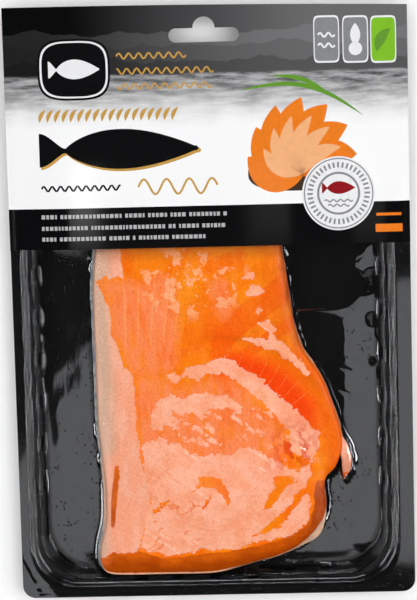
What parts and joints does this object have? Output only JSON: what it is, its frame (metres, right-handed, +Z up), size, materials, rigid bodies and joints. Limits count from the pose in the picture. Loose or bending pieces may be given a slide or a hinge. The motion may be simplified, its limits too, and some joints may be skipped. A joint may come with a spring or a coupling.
{
  "type": "pack of salted trout",
  "caption": "Orange trout fillet sealed under clear film on a black formed tray, with a printed header card and a hang hole, lying flat with the shown side up.",
  "frame": {"origin": "under the middle of the pack, in the plane that the tray's underside rests on", "axes": "+Z up, out of the shown side; +Y along the pack, towards the hang hole; +X across it, to the right as the shown side is seen with the hang hole at the top"},
  "size_m": [0.17, 0.255, 0.015],
  "materials": {
    "tray": "glossy black formed plastic sheet",
    "skin_layer": "pale cream fat and skin under the flesh, moist",
    "fillet": "moist orange fish flesh with paler fat lines",
    "film": "clear glossy film drawn tight, with fine creases and bubbles",
    "card": "glossy printed card, grey at the top, white below and a black band at the foot"
  },
  "bodies": {
    "root": {"tray": "tray", "skin_layer": "skin_layer", "fillet": "fillet", "film": "film", "card": "card"}
  },
  "joints": []
}
